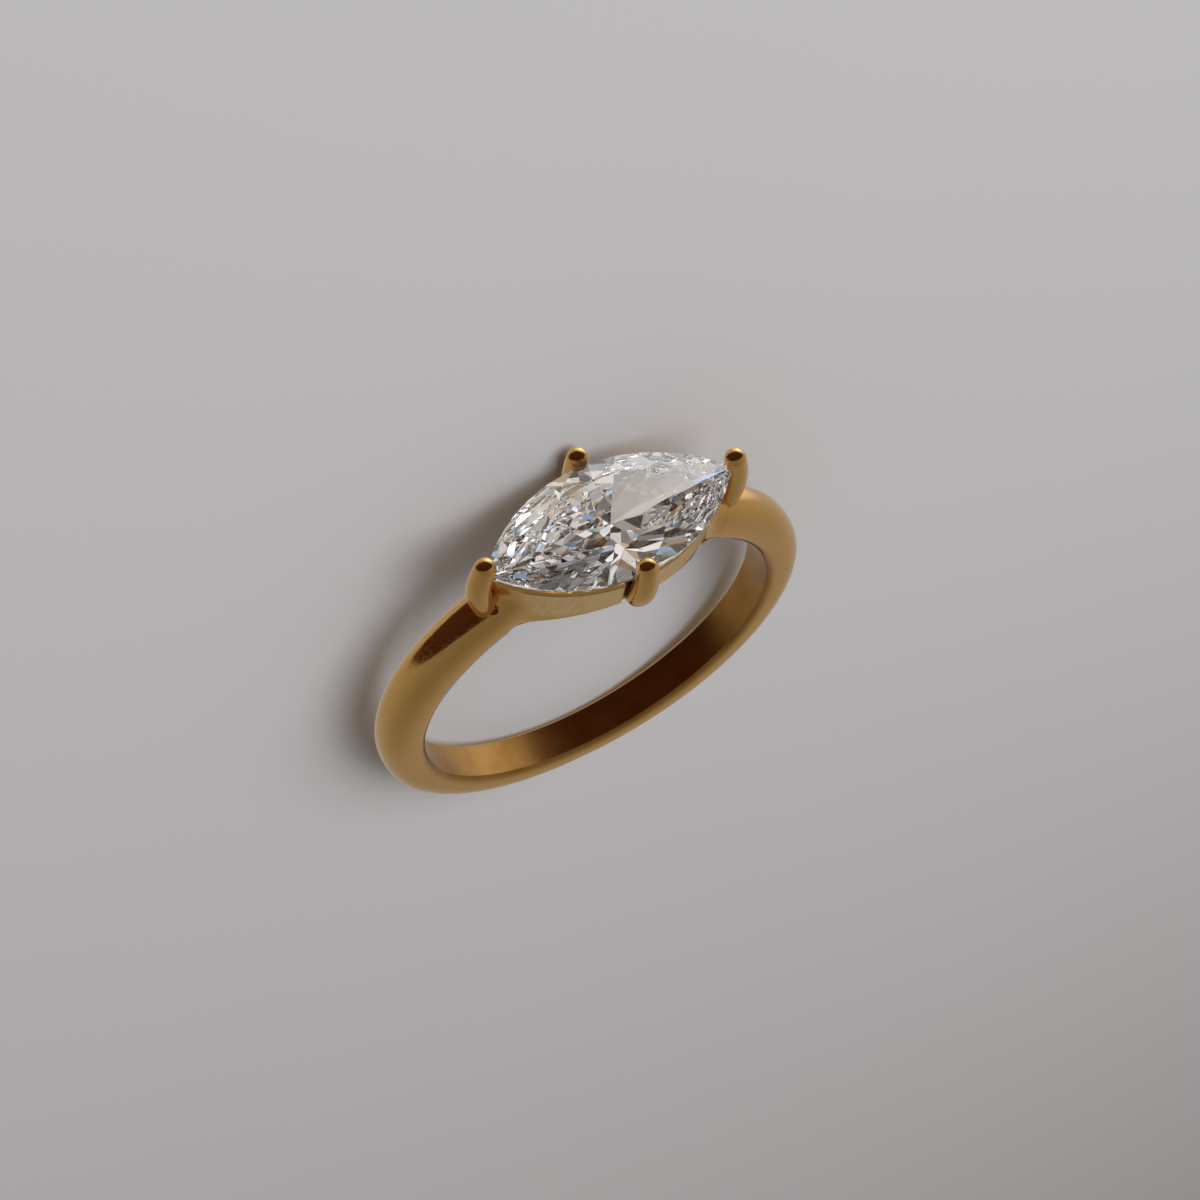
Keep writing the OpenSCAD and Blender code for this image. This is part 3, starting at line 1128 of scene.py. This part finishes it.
# What the noise in the air becomes as it rises: both ends of an edge, tint, share of brightness
PANES = (
    (0.425, 0.44, WARM_FIRE, 0.4),
    (0.455, 0.465, PANE_TINT, 0.33),
    (0.575, 0.585, COOL_FIRE, 0.7),
    (0.595, 0.61, PANE_TINT, 1.0),
)
# Light is followed this often inside the stone
BOUNCES = 20


def floor_material(look):
    material, tree, shader = new_material("Pale floor", {"Specular IOR Level": 0.2})
    place = object_place(tree)
    roughness, height = worn(tree, place, FLOOR_PATCH * MM, FLOOR_SCRATCH * MM, *FLOOR_ROUGHNESS)
    tone = noise(tree, place, FLOOR_BLOT * MM, 3.0)
    colour = mixed_colour(tree, tone, dimmed(look.floor, FLOOR_SHADE), tuple(look.floor))
    feed(tree, colour, shader.inputs["Base Color"])
    feed(tree, roughness, shader.inputs["Roughness"])
    bumped(tree, shader, height, *FLOOR_BUMP)
    return material


def flat_sheet(name, half):
    """A square sheet on the surface that the ring lies on"""
    mesh = bpy.data.meshes.new(name)
    corners = [(-half, -half, 0), (half, -half, 0), (half, half, 0), (-half, half, 0)]
    mesh.from_pydata(corners, [], [(0, 1, 2, 3)])
    return new_object(name, mesh)


def camera_view(view):
    """Place of the camera in the row's frame, from angles about the upright ring"""
    az, el, roll = view.azimuth, view.elevation, view.roll
    back = Vector((-math.sin(az) * math.cos(el), -math.cos(az) * math.cos(el), math.sin(el)))
    level = Vector((math.cos(az), -math.sin(az), 0))
    above = level.cross(-back)
    right = math.cos(roll) * level + math.sin(roll) * above
    above = -math.sin(roll) * level + math.cos(roll) * above
    eye = back * view.distance - right * view.right - above * view.above
    upright = Matrix((right, above, back)).transposed().to_4x4()
    return LAID @ Matrix.Translation(eye) @ upright


def square_light(name, place, width, power):
    light = bpy.data.lights.new(name, "AREA")
    light.size = width
    light.energy = power
    lamp = new_object(name, light)
    lamp.matrix_world = place
    return lamp


def facing(spot, target):
    """Place at a spot whose minus Z looks at the target"""
    back = (Vector(spot) - Vector(target)).normalized()
    return Matrix.Translation(spot) @ back.to_track_quat("Z", "Y").to_matrix().to_4x4()


def along(parts, way):
    """How far a direction, given by its parts, goes along a way"""
    return sum(part * amount for part, amount in zip(parts, way))


def studio_air(look, view_turn):
    """Soft air with a dark room behind the camera and a window. The stone shows panes with gaps."""
    world = bpy.data.worlds.new("Studio air")
    world.use_nodes = True
    tree = world.node_tree
    way = tree.nodes.new("ShaderNodeTexCoord").outputs["Generated"]
    parts = vector_parts(tree, way)

    # What the stone shows
    panes = noise(tree, way, 1 / look.pane_scale, 1.0)
    shown = dimmed(GAP_TINT, look.gap)
    for start, end, colour, brightness in PANES:
        shown = mixed_colour(
            tree, panes.between(start, end), shown, dimmed(colour, look.pane * brightness)
        )
    even = along(parts, EVEN_WAY).between(*EVEN_EDGE)
    shown = mixed_colour(tree, even, shown, dimmed(PANE_TINT, look.even))

    # What the metal shows and the floor is lit by
    room = 1.0
    for normal, edge in ROOM_EDGES:
        nearness = along(parts, view_turn @ Vector(normal).normalized())
        room = nearness.between(*near(edge, ROOM_SOFT)) * room
    around = mixed_colour(tree, room, tuple(look.air), tuple(look.room))
    nearness = along(parts, view_turn @ Vector(WINDOW_WAY).normalized())
    around = mixed_colour(tree, nearness.between(*WINDOW_EDGE), around, tuple(look.window))
    around = mixed_colour(tree, nearness.between(*SUN_EDGE), around, dimmed(SUN_TINT, look.sun))

    light_path = tree.nodes.new("ShaderNodeLightPath")
    through_stone = Field(tree, light_path.outputs["Is Transmission Ray"])
    background = tree.nodes["Background"]
    feed(tree, mixed_colour(tree, through_stone, around, shown), background.inputs["Color"])
    growth = blend(along(parts, look.air_slope), along(parts, look.pane_slope), through_stone)
    feed(tree, growth + 1.0, background.inputs["Strength"])
    return world


class RING_OT_stage(bpy.types.Operator):
    """Lays the floor, hangs the light and sets up the camera"""

    bl_idname = "ring.stage"
    bl_label = "Stage"

    def execute(self, context):
        scene = context.scene
        look, view = scene.ring_studio, scene.ring_view

        floor = flat_sheet("floor", FLOOR_HALF)
        only_material(floor.data, floor_material(look))
        # The metal and the stone show the air all round in place of the floor
        floor.visible_glossy = floor.visible_transmission = False

        place = camera_view(view)
        lens = bpy.data.cameras.new("camera")
        lens.lens = view.lens
        lens.clip_start = 1 * MM
        camera = new_object("camera", lens)
        camera.matrix_world = place
        scene.camera = camera

        spot = facing(look.key_from, LAID @ Vector((0, 0, KEY_AIM)))
        key = square_light("key_light", spot, look.key_size, look.key)
        # Neither metal nor stone shows the large light, which would turn all the facets pale
        key.visible_glossy = key.visible_transmission = False

        scene.world = studio_air(look, place.to_3x3())
        scene.view_settings.view_transform = "Standard"
        paths = scene.cycles
        paths.max_bounces = paths.glossy_bounces = paths.transmission_bounces = BOUNCES
        return {"FINISHED"}


# Panel

GROUPS = {
    "ring_band": BandSizes,
    "ring_basket": BasketSizes,
    "ring_prongs": ProngSizes,
    "ring_gold": GoldFinish,
    "ring_stone": StoneFinish,
    "ring_studio": StudioLook,
    "ring_view": CameraView,
}
OPERATORS = [RING_OT_metal, RING_OT_stone, RING_OT_stage]


class RING_PT_maker(bpy.types.Panel):
    """Lists the ring's pieces and their sizes"""

    bl_idname = "RING_PT_maker"
    bl_label = "Marquise ring"
    bl_space_type = "VIEW_3D"
    bl_region_type = "UI"
    bl_category = "Ring"

    def draw(self, context):
        for operator in OPERATORS:
            self.layout.operator(operator.bl_idname)
        for name, group in GROUPS.items():
            box = self.layout.box()
            for label in group.__annotations__:
                box.prop(getattr(context.scene, name), label)


def register():
    for kind in (*GROUPS.values(), *OPERATORS, RING_PT_maker):
        bpy.utils.register_class(kind)
    for name, group in GROUPS.items():
        setattr(bpy.types.Scene, name, PointerProperty(type=group))


def unregister():
    for name in GROUPS:
        delattr(bpy.types.Scene, name)
    for kind in (RING_PT_maker, *OPERATORS, *GROUPS.values()):
        bpy.utils.unregister_class(kind)


def main():
    register()
    bpy.ops.ring.metal()
    bpy.ops.ring.stone()
    bpy.ops.ring.stage()


if __name__ == "__main__":
    main()
